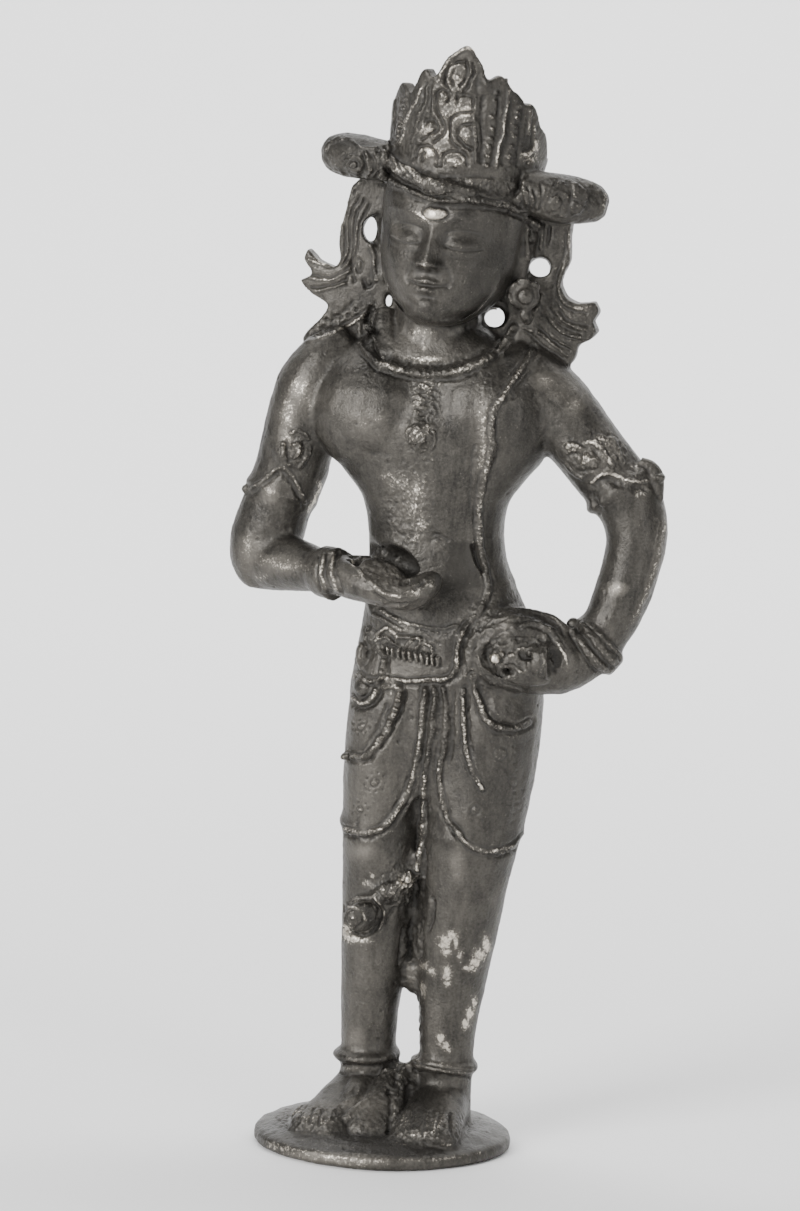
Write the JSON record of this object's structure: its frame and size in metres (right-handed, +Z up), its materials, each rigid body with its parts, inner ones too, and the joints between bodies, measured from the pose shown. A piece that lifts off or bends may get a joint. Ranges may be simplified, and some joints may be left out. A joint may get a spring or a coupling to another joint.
{
  "type": "standing deity figure",
  "caption": "Small cast standing figure with a tall leaf crown, one hand open at the belly and one at the hip with a bell, on a round disc base.",
  "frame": {"origin": "centre of the round disc base's flat underside", "axes": "+Z up through the crown, -Y the way the figure faces, +X the figure's left side"},
  "size_m": [0.0708, 0.0409, 0.1782],
  "materials": {
    "bronze": "dark brown patina on cast copper alloy, rubbed bright on the high points"
  },
  "bodies": {
    "root": {"figure": "bronze"}
  },
  "joints": []
}
